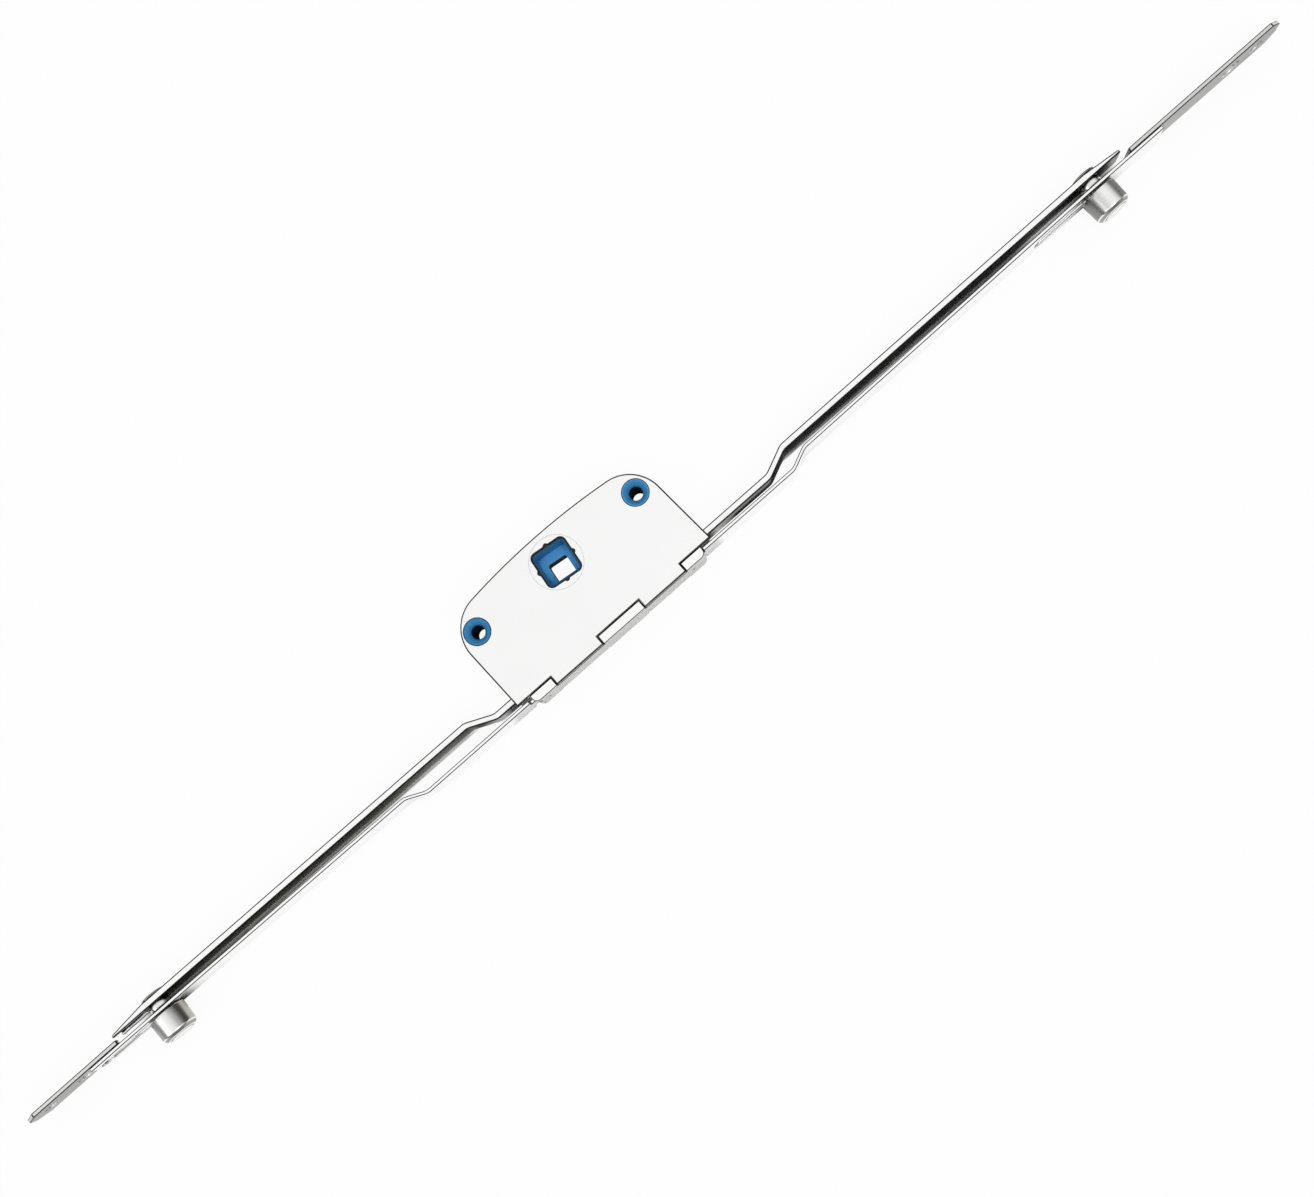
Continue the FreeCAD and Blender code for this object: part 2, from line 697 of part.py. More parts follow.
def sector_shape():
    """The toothed hub, drawn as at mid-stroke."""
    base_radius = sheet.pitch_radius * math.cos(math.atan(sheet.flank_slope))
    tip_radius = sheet.pitch_radius + sheet.addendum
    root_radius = sheet.pitch_radius - sheet.dedendum
    foot_radius = root_radius - sheet.tooth_foot_overlap
    half = math.radians(sheet.sector_half_angle)
    web_edges = [
        Part.makeLine(round_spot(0, 0), round_spot(root_radius, -half)),
        Part.Arc(round_spot(root_radius, -half), round_spot(root_radius, 0),
                 round_spot(root_radius, half)).toShape(),
        Part.makeLine(round_spot(root_radius, half), round_spot(0, 0)),
    ]
    upward = FreeCAD.Vector(0, 0, measure(rod_width))
    solids = [Part.Face(Part.Wire(web_edges)).extrude(upward)]
    roll_at_pitch = math.sqrt((sheet.pitch_radius / base_radius) ** 2 - 1)
    half_tooth = (tooth_pitch / 4 - sheet.backlash / 2) / sheet.pitch_radius
    half_base = half_tooth + roll_at_pitch - math.atan(roll_at_pitch)
    step = sheet.full_turn / sheet.tooth_count
    teeth_each_side = int(half / step)
    for number in range(-teeth_each_side, teeth_each_side):
        middle = (number + 0.5) * step
        radii = [base_radius + (tip_radius - base_radius) * place_on / flank_steps
                 for place_on in range(flank_steps + 1)]
        left = [involute_spot(base_radius, radius, middle - half_base, 1) for radius in radii]
        right = [involute_spot(base_radius, radius, middle + half_base, -1) for radius in radii]
        left_flank = Part.BSplineCurve()
        left_flank.interpolate(left)
        right_flank = Part.BSplineCurve()
        right_flank.interpolate(right)
        left_foot = round_spot(foot_radius, middle - half_base)
        right_foot = round_spot(foot_radius, middle + half_base)
        edges = [
            Part.makeLine(left_foot, left[0]),
            left_flank.toShape(),
            Part.Arc(left[-1], round_spot(tip_radius, middle), right[-1]).toShape(),
            right_flank.toShape(),
            Part.makeLine(right[0], right_foot),
            Part.makeLine(right_foot, left_foot),
        ]
        wire = Part.Wire(Part.__sortEdges__(edges))
        solids.append(Part.Face(wire).extrude(upward))
    boss = Part.makeCylinder(sheet.journal_radius, sheet.case_depth)
    return boss.multiFuse(solids).removeSplitter()


def square_bar(name, side, corner, low, high, turn, shift="0"):
    """An upright square bar with rounded corners, turned about the spindle axis."""
    half = side + " / 2"
    corners = [
        ("-" + half, "-" + half + " - " + shift),
        (half, "-" + half + " - " + shift),
        (half, half + " - " + shift),
        ("-" + half, half + " - " + shift),
    ]
    bar = outline_body(name, corners, low, "(" + high + ") - (" + low + ")")
    round_upright(bar, corners, corner)
    bar.Placement.Rotation = FreeCAD.Rotation(FreeCAD.Vector(0, 0, 1), turn)
    return bar


square_rest = -sheet.square_turn
sector_blank = doc.addObject("Part::Feature", "sector_blank")
sector_blank.Shape = sector_shape()
sector_blank.Placement.Rotation = FreeCAD.Rotation(FreeCAD.Vector(0, 0, 1), sheet.rest_turn)
sleeve_top = "case_depth - liner_recess"
way = square_bar("way", "liner_outside", "liner_corner", "-cut_past", "case_depth + cut_past", square_rest)
lobes = square_bar("lobes", "lobe_square", "lobe_corner", sleeve_top, "case_depth + cut_past",
                   square_rest + 45)
finished(remove("sector", sector_blank, way, lobes), "toothed_sector")

# Spindle socket
# A moulded sleeve in the square way of the sector; its deep half narrows to a ledge
# that stops the spindle, thicker on one side where it grips.
ledge_level = sleeve_top + " - ledge_depth"
sleeve = square_bar("sleeve", "liner_outside", "liner_corner", "0", sleeve_top, square_rest)
socket = square_bar("socket", "hub_socket", "lobe_corner", ledge_level, "case_depth + cut_past", square_rest)
narrow = square_bar("narrow", "ledge_bore_width", "ledge_bore_corner", "-cut_past", "case_depth",
                    square_rest, "ledge_bore_offset")
finished(remove("sleeve_cut", sleeve, socket, narrow), "spindle_socket")

# Rod glides
# Plastic blocks in the front corners of the tray keep the rod against the bracket side.
for side_name, sign in (("left", "-"), ("right", "")):
    wall = case_left + " + tray_gauge" if sign == "-" else case_right + " - tray_gauge - lean_right / 2"
    inner = wall + (" + glide_length" if sign == "-" else " - glide_length")
    low_x, high_x = (wall, inner) if sign == "-" else (inner, wall)
    glide = block(
        "glide_" + side_name,
        (low_x, "-rod_face + glide_gap", "tray_gauge"),
        (high_x, "-rod_face + glide_gap + glide_height", inner_top),
    )
    finished(glide, "rod_glide_" + side_name)

# Roller pins
# Each is riveted through the rod with a low head inside, keeps its distance with a shoulder,
# passes the rail slot and ends in a collar that holds the roller.
rail_inside = "-rail_face + rail_crank_step + rail_tail_step"
rail_outside = rail_inside + " - rail_gauge"
roller_top = rail_outside + " - roller_gap"
roller_end = roller_top + " - roller_length"
for side_name, spot in roller_spots.items():
    centre = "case_depth / 2"
    head = post("pin_head_" + side_name, "pin_head_radius", "pin_head_height", spot,
                rod_inside + " + pin_head_height", centre, axis="-Y")
    dome_edges = doc.addObject("Part::Chamfer", "pin_dome_" + side_name)
    dome_edges.Base = head
    doc.recompute()
    top_edge = max(range(len(head.Shape.Edges)), key=lambda item: head.Shape.Edges[item].BoundBox.YMin)
    dome_edges.Edges = [(top_edge + 1, sheet.pin_head_fall, sheet.pin_head_slope)]
    stem = post("pin_stem_" + side_name, "pin_radius", "(" + rod_inside + ") - (" + roller_end + ")",
                spot, rod_inside, centre, axis="-Y")
    shoulder = post("pin_shoulder_" + side_name, "pin_shoulder_radius",
                    "(" + rod_outside + ") - (" + rail_inside + ") - shoulder_gap",
                    spot, rod_outside, centre, axis="-Y")
    collar = post("pin_collar_" + side_name, "collar_radius", "collar_height", spot,
                  roller_end + " + collar_height", centre, axis="-Y")
    finished(join("pin_" + side_name, dome_edges, stem, shoulder, collar), "roller_pin_" + side_name)

# Rollers
# Turned steel sleeves, slightly tapered and chamfered at the free end.
for side_name, spot in roller_spots.items():
    centre = "case_depth / 2"
    barrel = taper("roller_barrel_" + side_name, "roller_radius", "roller_radius - roller_taper",
                   "roller_length - roller_chamfer", spot, roller_top, centre, axis="-Y")
    tip = taper("roller_tip_" + side_name, "roller_radius - roller_taper",
                "roller_radius - roller_taper - roller_chamfer", "roller_chamfer", spot,
                roller_end + " + roller_chamfer", centre, axis="-Y")
    bore = post("roller_bore_" + side_name, "pin_radius + roller_bore_gap",
                "roller_length + 2 * cut_past", spot, roller_top + " + cut_past", centre, axis="-Y")
    counterbore = post("roller_counterbore_" + side_name, "collar_radius + roller_bore_gap",
                       "collar_height + roller_bore_gap + cut_past", spot,
                       roller_end + " + collar_height + roller_bore_gap", centre, axis="-Y")
    body = join("roller_body_" + side_name, barrel, tip)
    finished(remove("roller_" + side_name, body, bore, counterbore), "roller_" + side_name)

doc.recompute()
for item in doc.Objects:
    if "Invalid" in item.State or "Error" in item.State:
        raise RuntimeError("failed: " + item.Name)
os.makedirs("parts", exist_ok=True)
for piece in pieces:
    shape = piece.Shape
    if shape.isNull() or not shape.isValid() or not shape.Solids:
        raise RuntimeError("bad shape: " + piece.Label)
    shape.exportStep("parts/" + piece.Label + ".step")
    box = shape.BoundBox
    print("%-20s solids %d volume %8.1f  x %7.2f %7.2f  y %6.2f %6.2f  z %5.2f %5.2f" % (
        piece.Label, len(shape.Solids), shape.Volume, box.XMin, box.XMax, box.YMin, box.YMax,
        box.ZMin, box.ZMax))
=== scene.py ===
import json
import math
import bmesh
import bpy
from mathutils import Matrix, Vector

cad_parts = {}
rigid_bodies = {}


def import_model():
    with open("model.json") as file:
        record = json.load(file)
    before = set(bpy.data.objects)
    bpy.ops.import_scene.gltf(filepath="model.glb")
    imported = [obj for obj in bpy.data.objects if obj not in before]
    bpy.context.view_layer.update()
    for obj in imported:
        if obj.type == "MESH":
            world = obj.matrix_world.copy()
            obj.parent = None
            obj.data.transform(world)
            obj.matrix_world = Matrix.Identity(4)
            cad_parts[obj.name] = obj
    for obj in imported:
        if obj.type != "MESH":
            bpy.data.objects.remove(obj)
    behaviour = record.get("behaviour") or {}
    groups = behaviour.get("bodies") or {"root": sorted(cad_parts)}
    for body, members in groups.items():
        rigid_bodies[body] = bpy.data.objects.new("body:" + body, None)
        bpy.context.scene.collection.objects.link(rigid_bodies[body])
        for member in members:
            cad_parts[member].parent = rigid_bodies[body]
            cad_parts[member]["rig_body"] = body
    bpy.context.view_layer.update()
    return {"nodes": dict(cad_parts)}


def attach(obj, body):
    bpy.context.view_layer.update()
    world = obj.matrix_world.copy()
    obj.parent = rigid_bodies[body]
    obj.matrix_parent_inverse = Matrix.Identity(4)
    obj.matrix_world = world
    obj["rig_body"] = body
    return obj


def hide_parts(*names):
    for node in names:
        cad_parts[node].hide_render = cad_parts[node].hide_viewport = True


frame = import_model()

scene = bpy.context.scene
scene.view_settings.view_transform = "Standard"

# Camera
# It looks down on the lock from a little towards the rollers, with the case left of the middle
# and the arms running from lower left to upper right. The frame is 1314 wide and 1197 high.
LENS_PIXELS = 1700.0
FRAME_WIDTH = 1314.0
SENSOR_MM = 36.0
CAMERA_PLACE = (0.010297, -0.070599, 0.349627)
TOWARDS_CAMERA = (-0.000645, -0.148482, 0.988915)
ALONG_FRAME = (0.75044, -0.653684, -0.097659)
CAMERA_ROLL = 0.0002
STEP_LEFT = 0.0001
STEP_UP = 0.00012
NEAREST_SEEN = 0.01
FARTHEST_SEEN = 20.0
camera_data = bpy.data.cameras.new("camera")
camera_data.sensor_width = SENSOR_MM
camera_data.lens = LENS_PIXELS * SENSOR_MM / FRAME_WIDTH
camera_data.clip_start = NEAREST_SEEN
camera_data.clip_end = FARTHEST_SEEN
camera = bpy.data.objects.new("camera", camera_data)
scene.collection.objects.link(camera)
camera_back = Vector(TOWARDS_CAMERA).normalized()
camera_up = camera_back.cross(Vector(ALONG_FRAME)).normalized()
camera_right = camera_up.cross(camera_back)
camera.location = Vector(CAMERA_PLACE) - camera_right * STEP_LEFT + camera_up * STEP_UP
camera_right = (camera_right + camera_up * CAMERA_ROLL).normalized()
camera_up = camera_back.cross(camera_right)
camera.rotation_euler = Matrix((camera_right, camera_up, camera_back)).transposed().to_euler()
scene.camera = camera

# Floor and studio room
# A white card under the lock, with a painted shade only where the strips shut it in, and a room
# that is white overhead and below and dark grey at the horizon, so that polished steel has
# something to show.
FLOOR_HALF = 6.0
FLOOR_LEVEL = -0.00005
PAPER = (0.82, 0.82, 0.82)
CARD_GLOW = 0.94
CARD_SAMPLES = 20
SHUT_IN_REACH = 0.012
SHUT_IN_LEVELS = (0.32, 0.5)
CASE_ENDS = (0.0275, 0.0295)
JOGGLE_ENDS = (0.033, 0.038)
GAP_MIDDLE_Y = -0.01225
GAP_HALF_WIDTHS = (0.00135, 0.0017)
UNDER_STRIPS = 0.0035
ARMS_MIDDLE_X = 0.0075
ARMS_HALF_LENGTHS = (0.133, 0.138)
LEFT_TO_RIGHT = (-0.034, 0.0)
# Colours of the painted shade on the card between the strips, from the left arm to the right.
LEFT_FLOOR_SHADE = (0.09, 0.085, 0.06)
RIGHT_FLOOR_SHADE = (0.008, 0.008, 0.007)
ROOM_TONES = ((0.02, (0.08, 0.082, 0.085)), (0.3, (0.3, 0.302, 0.305)), (0.72, (1.0, 1.0, 1.0)))
WHITE = (1.0, 1.0, 1.0)


def range_of(tree, source, low, high, low_value=0.0, high_value=1.0):
    """A clamped change from one value to another between two levels of a source."""
    node = tree.nodes.new("ShaderNodeMapRange")
    node.inputs["From Min"].default_value = low
    node.inputs["From Max"].default_value = high
    node.inputs["To Min"].default_value = low_value
    node.inputs["To Max"].default_value = high_value
    tree.links.new(source, node.inputs["Value"])
    return node.outputs[0]


def sum_of(tree, operation, first, second=None):
    """A sum on one or two values, the second of which may be a plain number."""
    node = tree.nodes.new("ShaderNodeMath")
    node.operation = operation
    tree.links.new(first, node.inputs[0])
    if isinstance(second, float):
        node.inputs[1].default_value = second
    elif second is not None:
        tree.links.new(second, node.inputs[1])
    return node.outputs[0]


def colour_mix(tree, factor, first, second):
    """A mix of two colours, each of them plain or the output of a node."""
    node = tree.nodes.new("ShaderNodeMix")
    node.data_type = "RGBA"
    tree.links.new(factor, node.inputs["Factor"])
    for title, colour in (("A", first), ("B", second)):
        if isinstance(colour, tuple):
            node.inputs[title].default_value = colour + (1.0,)
        else:
            tree.links.new(colour, node.inputs[title])
    return node.outputs["Result"]


def colour_ramp(tree, source, tones):
    """A run through a row of colours, each at its own level of a source."""
    node = tree.nodes.new("ShaderNodeValToRGB")
    elements = node.color_ramp.elements
    for index, (position, colour) in enumerate(tones):
        element = elements[index] if index < 2 else elements.new(position)
        element.position = position
        element.color = colour + (1.0,)
    tree.links.new(source, node.inputs["Fac"])
    return node.outputs["Color"]


def place_of(tree):
    """The X, Y and Z of a spot in the object's own frame."""
    spot = tree.nodes.new("ShaderNodeTexCoord")
    split = tree.nodes.new("ShaderNodeSeparateXYZ")
    tree.links.new(spot.outputs["Object"], split.inputs[0])
    return split.outputs


def floor_shade_mask(tree, place, rays, off_middle):
    """Painted shade where the card lies shut in between rod and rail, for mirror rays also under
    them.
    """
    openness = tree.nodes.new("ShaderNodeAmbientOcclusion")
    openness.samples = CARD_SAMPLES
    openness.inputs["Distance"].default_value = SHUT_IN_REACH
    floor_shade = range_of(tree, openness.outputs["AO"], *SHUT_IN_LEVELS, 1.0, 0.0)
    wider = range_of(tree, rays["Is Camera Ray"], 0.0, 1.0, UNDER_STRIPS, 0.0)
    from_case = sum_of(tree, "ADD", off_middle, wider)
    past_joggle = range_of(tree, from_case, *JOGGLE_ENDS)
    across = sum_of(tree, "ABSOLUTE", sum_of(tree, "SUBTRACT", place["Y"], GAP_MIDDLE_Y))
    from_gap = sum_of(tree, "SUBTRACT", across, wider)
    under_gap = range_of(tree, from_gap, *GAP_HALF_WIDTHS, 1.0, 0.0)
    along = sum_of(tree, "ABSOLUTE", sum_of(tree, "SUBTRACT", place["X"], ARMS_MIDDLE_X))
    before_plates = range_of(tree, along, *ARMS_HALF_LENGTHS, 1.0, 0.0)
    for mask in (past_joggle, under_gap, before_plates):
        floor_shade = sum_of(tree, "MULTIPLY", floor_shade, mask)
    return floor_shade


def card_material():
    """A card that camera, mirror and see-through rays find white, but for a painted shade in the
    gaps.
    """
    card = bpy.data.materials.new("white_card")
    card.use_nodes = True
    tree = card.node_tree
    tree.nodes.clear()
    place = place_of(tree)
    rays = tree.nodes.new("ShaderNodeLightPath").outputs
    off_middle = sum_of(tree, "ABSOLUTE", place["X"])
    floor_shade = floor_shade_mask(tree, place, rays, off_middle)
    side = range_of(tree, place["X"], *LEFT_TO_RIGHT)
    floor_shade_colour = colour_mix(tree, side, LEFT_FLOOR_SHADE, RIGHT_FLOOR_SHADE)
    diffuse = tree.nodes.new("ShaderNodeBsdfDiffuse")
    tree.links.new(colour_mix(tree, floor_shade, PAPER, floor_shade_colour), diffuse.inputs["Color"])
    glow = tree.nodes.new("ShaderNodeEmission")
    glow.inputs["Color"].default_value = WHITE + (1.0,)
    straight = sum_of(tree, "MAXIMUM", rays["Is Camera Ray"], rays["Is Transmission Ray"])
    past_case = range_of(tree, off_middle, *CASE_ENDS)
    mirrored = sum_of(tree, "MULTIPLY", rays["Is Glossy Ray"], past_case)
    seen = sum_of(tree, "MAXIMUM", straight, mirrored)
    glow_share = sum_of(tree, "MULTIPLY", seen, range_of(tree, floor_shade, 0.0, 1.0, CARD_GLOW, 0.0))
    front = tree.nodes.new("ShaderNodeMixShader")
    tree.links.new(glow_share, front.inputs["Fac"])
    tree.links.new(diffuse.outputs[0], front.inputs[1])
    tree.links.new(glow.outputs[0], front.inputs[2])
    clear = tree.nodes.new("ShaderNodeBsdfTransparent")
    under = tree.nodes.new("ShaderNodeNewGeometry")
    both_sides = tree.nodes.new("ShaderNodeMixShader")
    tree.links.new(under.outputs["Backfacing"], both_sides.inputs["Fac"])
    tree.links.new(front.outputs[0], both_sides.inputs[1])
    tree.links.new(clear.outputs[0], both_sides.inputs[2])
    output = tree.nodes.new("ShaderNodeOutputMaterial")
    tree.links.new(both_sides.outputs[0], output.inputs["Surface"])
    return card


floor_mesh = bpy.data.meshes.new("floor")
floor_mesh.from_pydata(
    [(-FLOOR_HALF, -FLOOR_HALF, FLOOR_LEVEL), (FLOOR_HALF, -FLOOR_HALF, FLOOR_LEVEL),
     (FLOOR_HALF, FLOOR_HALF, FLOOR_LEVEL), (-FLOOR_HALF, FLOOR_HALF, FLOOR_LEVEL)],
    [], [(0, 1, 2, 3)])
floor = bpy.data.objects.new("floor", floor_mesh)
scene.collection.objects.link(floor)
floor_mesh.materials.append(card_material())

world = bpy.data.worlds.new("room")
scene.world = world
world.use_nodes = True
room = world.node_tree
room.nodes.clear()
room_rays = room.nodes.new("ShaderNodeLightPath").outputs
room_straight = sum_of(
    room, "MAXIMUM", room_rays["Is Camera Ray"], room_rays["Is Transmission Ray"])
room_spot = room.nodes.new("ShaderNodeTexCoord")
room_split = room.nodes.new("ShaderNodeSeparateXYZ")
room.links.new(room_spot.outputs["Generated"], room_split.inputs[0])
room_slope = sum_of(room, "ABSOLUTE", room_split.outputs["Z"])
room_colour = colour_mix(room, room_straight, colour_ramp(room, room_slope, ROOM_TONES), WHITE)
room_back = room.nodes.new("ShaderNodeBackground")
room.links.new(room_colour, room_back.inputs["Color"])
room_output = room.nodes.new("ShaderNodeOutputWorld")
room.links.new(room_back.outputs[0], room_output.inputs["Surface"])


def lamp(name, place, size, watts):
    """A large soft square lamp that faces the spindle."""
    data = bpy.data.lights.new(name, "AREA")
    data.shape = "SQUARE"
    data.size = size
    data.energy = watts
    thing = bpy.data.objects.new(name, data)
    thing.location = place
    thing.rotation_euler = (-Vector(place)).to_track_quat("-Z", "Y").to_euler()
    scene.collection.objects.link(thing)


lamp("front_lamp", (0.1, -0.75, 1.15), size=0.6, watts=3.2)
lamp("side_lamp", (-1.0, -0.1, 0.8), size=0.5, watts=1.4)

# Gear case
# Tray and cover are pressed from plated steel sheet and polished; their tongues reach over
# the notched bracket. Each edge is broken a little, as pressing and tumbling leave it.
FINISH_SAMPLES = 8
GRAIN_DETAIL = 3.0
GRAIN_DEPTH = 0.00002
SMUDGE_SCALE = 60.0
SMUDGE_DETAIL = 2.0
WORN_SCALE = 380.0
WORN_LEVELS = (0.55, 0.7)
SMUDGE_DULLING = 0.95
ROUGHNESS_SPREAD = (0.75, 1.3)
OUT_OF_SASH = (0.0, -1.0, 0.0)
SIDE_SLOPES = (0.35, 0.75)
EDGE_ROUGHNESS = 0.28
LOWER_EDGE_HEIGHTS = (0.003, 0.005)
SAME_SPOT = 1e-6
FLAT_WITHIN = math.radians(0.6)
SHARP_FROM = math.radians(30.0)
FRONT_LEVEL = 0.0094
EDGE_INDEX = 1
FRONT_INDEX = 2
FLAT_WEIGHT = 100
FINE_SHARE = 0.5
HUB_SEAM = (0.0055, 0.006)
BUSH_HOLES = ((-0.0215, 0.0, 0.003), (0.0215, 0.0, 0.003))


def new_group(name, takes, gives):
    """An empty shader group with its sockets, each named with its kind."""
    group = bpy.data.node_groups.new(name, "ShaderNodeTree")
    for way, sockets in (("INPUT", takes), ("OUTPUT", gives)):
        for title, kind in sockets.items():
            group.interface.new_socket(title, in_out=way, socket_type="NodeSocket" + kind)
    entry = group.nodes.new("NodeGroupInput")
    result = group.nodes.new("NodeGroupOutput")
    return group, entry.outputs, result.inputs


def wear_and_shade_group():
    """What the finishes share: how open a spot is, which sets the painted shade, a fine grain,
    smudges and worn spots.
    """
    group, takes, gives = new_group(
        "shared_wear_and_shade", {"Reach": "Float", "Power": "Float", "Grain": "Float", "Stretch": "Vector"},
        {"Open": "Float", "Grain": "Float", "Smudge": "Float", "Worn": "Float"})
    openness = group.nodes.new("ShaderNodeAmbientOcclusion")
    openness.samples = FINISH_SAMPLES
    group.links.new(takes["Reach"], openness.inputs["Distance"])
    group.links.new(sum_of(group, "POWER", openness.outputs["AO"], takes["Power"]), gives["Open"])
    spot = group.nodes.new("ShaderNodeTexCoord")
    stretch = group.nodes.new("ShaderNodeVectorMath")
    stretch.operation = "MULTIPLY"
    group.links.new(spot.outputs["Object"], stretch.inputs[0])
    group.links.new(takes["Stretch"], stretch.inputs[1])
    grain = group.nodes.new("ShaderNodeTexNoise")
    grain.inputs["Detail"].default_value = GRAIN_DETAIL
    group.links.new(stretch.outputs[0], grain.inputs["Vector"])
    group.links.new(takes["Grain"], grain.inputs["Scale"])
    group.links.new(grain.outputs["Fac"], gives["Grain"])
    smudge = group.nodes.new("ShaderNodeTexNoise")
    smudge.inputs["Scale"].default_value = SMUDGE_SCALE
    smudge.inputs["Detail"].default_value = SMUDGE_DETAIL
    group.links.new(spot.outputs["Object"], smudge.inputs["Vector"])
    group.links.new(smudge.outputs["Fac"], gives["Smudge"])
    spots = group.nodes.new("ShaderNodeTexNoise")
    spots.inputs["Scale"].default_value = WORN_SCALE
    group.links.new(spot.outputs["Object"], spots.inputs["Vector"])
    group.links.new(range_of(group, spots.outputs["Fac"], *WORN_LEVELS), gives["Worn"])
    return group


def side_group():
    """A mask of the faces that look one way, from one slope of the surface to another."""
    group, takes, gives = new_group(
        "side_mask", {"Direction": "Vector", "Start": "Float", "Full": "Float"}, {"Mask": "Float"})
    spot = group.nodes.new("ShaderNodeTexCoord")
    slope = group.nodes.new("ShaderNodeVectorMath")
    slope.operation = "DOT_PRODUCT"
    group.links.new(spot.outputs["Normal"], slope.inputs[0])
    group.links.new(takes["Direction"], slope.inputs[1])
    turned = group.nodes.new("ShaderNodeMapRange")
    group.links.new(slope.outputs["Value"], turned.inputs["Value"])
    group.links.new(takes["Start"], turned.inputs["From Min"])
    group.links.new(takes["Full"], turned.inputs["From Max"])
    group.links.new(turned.outputs[0], gives["Mask"])
    return group


def steel_tone_group():
    """The tone of a steel: bright or slightly dull in smudges where open, with painted shade in
    gaps.
    """
    group, takes, gives = new_group(
        "steel_tone",
        {"Dull": "Color", "Bright": "Color", "Dark": "Color", "Open": "Float", "Smudge": "Float"},
        {"Tone": "Color"})
    clean = colour_mix(group, takes["Smudge"], takes["Dull"], takes["Bright"])
    group.links.new(colour_mix(group, takes["Open"], takes["Dark"], clean), gives["Tone"])
    return group


shared_wear_and_shade = wear_and_shade_group()
side_mask = side_group()
steel_tone = steel_tone_group()


def shared_node(tree, group, **values):
    """A node of a shared group, with its own values."""
    node = tree.nodes.new("ShaderNodeGroup")
    node.node_tree = group
    for title, value in values.items():
        node.inputs[title].default_value = value
    return node


def finish_parts(name, reach, power, grain, stretch, bump):
    """A material with the shared wear and shade group and a grain bump, ready for its colours."""
    material = bpy.data.materials.new(name)
    material.use_nodes = True
    tree = material.node_tree
    shader = tree.nodes["Principled BSDF"]
    wear_and_shade = shared_node(tree, shared_wear_and_shade, Reach=reach, Power=power, Grain=grain, Stretch=stretch)
    relief = tree.nodes.new("ShaderNodeBump")
    relief.inputs["Strength"].default_value = bump
    relief.inputs["Distance"].default_value = GRAIN_DEPTH
    tree.links.new(wear_and_shade.outputs["Grain"], relief.inputs["Height"])
    tree.links.new(relief.outputs["Normal"], shader.inputs["Normal"])
    return material, tree, shader.inputs, wear_and_shade.outputs


def shaded_side(tree, colour, shade, direction, slopes):
    """Paint painted shade or light on the faces that look one way, which may come from a group."""
    side = shared_node(tree, side_mask, Direction=direction, Start=slopes[0], Full=slopes[1])
    if isinstance(shade, bpy.types.NodeTree):
        shade = shared_node(tree, shade).outputs[0]
    return colour_mix(tree, side.outputs["Mask"], colour, shade)


def steel(name, bright, painted_dark, rough, reach, power, grain, stretch, bump, shades=()):
    """A steel finish: bright where open, with painted shade in gaps and a fine directional grain.
    """
    material, tree, surface, wear_and_shade = finish_parts(name, reach, power, grain, stretch, bump)
    dull = tuple(SMUDGE_DULLING * part for part in bright)
    tone = shared_node(
        tree, steel_tone, Dull=dull + (1.0,), Bright=bright + (1.0,), Dark=painted_dark + (1.0,))
    tree.links.new(wear_and_shade["Open"], tone.inputs["Open"])
    tree.links.new(wear_and_shade["Smudge"], tone.inputs["Smudge"])
    shown = tone.outputs["Tone"]
    for shade, direction, slopes in shades:
        shown = shaded_side(tree, shown, shade, direction, slopes)
    tree.links.new(shown, surface["Base Color"])
    least, most = (rough * share for share in ROUGHNESS_SPREAD)
    tree.links.new(range_of(tree, wear_and_shade["Smudge"], 0.0, 1.0, least, most), surface["Roughness"])
    surface["Metallic"].default_value = 1.0
    return material


def edge_steel(name, painted_dark, worn, lower):
    """Sheared edges: a painted dark reflection, rubbed lighter in spots, and painted light low on
    the piece.
    """
    material, tree, surface, wear_and_shade = finish_parts(
        name, reach=0.0008, power=1.2, grain=900.0, stretch=(0.3, 1.0, 1.0), bump=0.3)
    rubbed_dark_reflection = colour_mix(tree, wear_and_shade["Worn"], painted_dark, worn)
    upper = range_of(tree, place_of(tree)["Z"], *LOWER_EDGE_HEIGHTS)
    tree.links.new(colour_mix(tree, upper, lower, rubbed_dark_reflection), surface["Base Color"])
    surface["Metallic"].default_value = 1.0
    surface["Roughness"].default_value = EDGE_ROUGHNESS
    return material


def edge_weight(line, seam, lowest, fine_holes):
    """How far an edge is broken: left sharp, broken finely round a hole, or in full."""
    if not line.is_manifold or line.calc_face_angle() < SHARP_FROM:
        return 0.0
    corners = [corner.co for corner in line.verts]
    reach = [math.hypot(corner.x, corner.y) for corner in corners]
    if seam and min(reach) > seam[0] and max(reach) < seam[1]:
        return 0.0
    if min(corner.z for corner in corners) < lowest:
        return 0.0
    for x, y, radius in fine_holes:
        if all(math.hypot(corner.x - x, corner.y - y) < radius for corner in corners):
            return FINE_SHARE
    return 1.0


